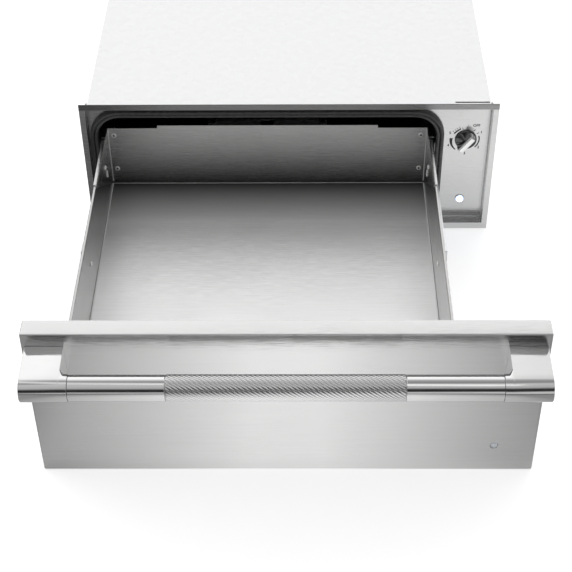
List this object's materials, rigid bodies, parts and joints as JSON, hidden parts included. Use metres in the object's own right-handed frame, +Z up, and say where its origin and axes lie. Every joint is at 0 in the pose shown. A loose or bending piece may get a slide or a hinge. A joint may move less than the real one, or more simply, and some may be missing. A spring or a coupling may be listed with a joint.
{
  "type": "built-in warming drawer",
  "caption": "Built-in warming drawer with a stainless front, bar handle, pan on telescopic slides, sealed heated cavity and a heat knob in the face frame.",
  "frame": {"origin": "middle of the underside of the housing's base plate, which rests on the cabinet shelf", "axes": "+X to the right of a user facing the front, +Y from the front panel into the cabinet, +Z up"},
  "size_m": [0.6794, 1.18, 0.2602],
  "materials": {
    "panel_steel": "horizontal brushed grain",
    "pan_steel": "brushed, lengthwise grain",
    "frame_steel": "fine brushed, satin",
    "polished_steel": "polished",
    "knurled_steel": "diamond knurl",
    "zinc_sheet": "pale zinc coating",
    "slide_zinc": "zinc plated",
    "screw_steel": "bright plated",
    "black_enamel": "black enamel, semi-gloss",
    "seal_silicone": "satin black silicone",
    "glass_wool": "loose mineral wool",
    "black_plastic": "matt",
    "pale_lens": "translucent",
    "element_steel": "heat-darkened sheath",
    "stud_black": "black, glossy head"
  },
  "bodies": {
    "housing": {"face_frame": "frame_steel", "sensor_bulb": "polished_steel", "housing_base": "zinc_sheet", "housing_top": "zinc_sheet", "rear_cover": "zinc_sheet", "control_divider": "zinc_sheet", "element_strap": "zinc_sheet", "sensor_clip": "zinc_sheet", "housing_side_left": "zinc_sheet", "housing_side_right": "zinc_sheet", "slide_cabinet_left": "slide_zinc", "slide_cabinet_right": "slide_zinc", "cavity_liner": "black_enamel", "drawer_seal": "seal_silicone", "insulation_blanket": "glass_wool", "insulation_rear": "glass_wool", "heat_switch": "black_plastic", "indicator_lamp": "black_plastic", "terminal_block": "black_plastic", "cord_gland": "black_plastic", "limit_thermostat": "black_plastic", "indicator_lens": "pale_lens", "heating_element": "element_steel", "strap_stud_left": "stud_black", "strap_stud_right": "stud_black"},
    "drawer": {"front_skin": "panel_steel", "front_liner": "pan_steel", "front_insulation": "glass_wool", "window_lens": "pale_lens", "light_pipe": "pale_lens", "handle_tube": "polished_steel", "handle_grip": "knurled_steel", "pan_floor": "pan_steel", "pan_back": "pan_steel", "handle_bracket_left": "polished_steel", "handle_bracket_right": "polished_steel", "handle_bolt_left": "slide_zinc", "handle_bolt_right": "slide_zinc", "pan_side_left": "pan_steel", "pan_side_right": "pan_steel", "back_screw_upper_left": "screw_steel", "back_screw_upper_right": "screw_steel", "back_screw_lower_left": "screw_steel", "back_screw_lower_right": "screw_steel", "flange_screw_left": "screw_steel", "flange_screw_right": "screw_steel", "wall_screw_left": "screw_steel", "wall_screw_right": "screw_steel", "slide_drawer_left": "slide_zinc", "slide_drawer_right": "slide_zinc"},
    "rail_left": {"slide_middle_left": "slide_zinc", "slide_stop_left": "black_plastic"},
    "rail_right": {"slide_middle_right": "slide_zinc", "slide_stop_right": "black_plastic"},
    "knob": {"control_knob": "polished_steel", "switch_shaft": "slide_zinc"}
  },
  "joints": [
    {"name": "drawer_slide", "type": "slide", "parent": "housing", "child": "drawer", "axis": [0, 1, 0], "range_m": [0, 0.5]},
    {"name": "rail_slide_left", "type": "slide", "parent": "housing", "child": "rail_left", "axis": [0, 1, 0], "range_m": [0, 0.27]},
    {"name": "rail_slide_right", "type": "slide", "parent": "housing", "child": "rail_right", "axis": [0, 1, 0], "range_m": [0, 0.27]},
    {"name": "knob_turn", "type": "hinge", "parent": "housing", "child": "knob", "pos_m": [0.284, -0.27905, 0.161], "axis": [0, 1, 0], "range_deg": [0, 270]}
  ],
  "couplings": [
    {"joint": "rail_slide_left", "follows": "drawer_slide", "ratio": 0.54},
    {"joint": "rail_slide_right", "follows": "drawer_slide", "ratio": 0.54}
  ]
}
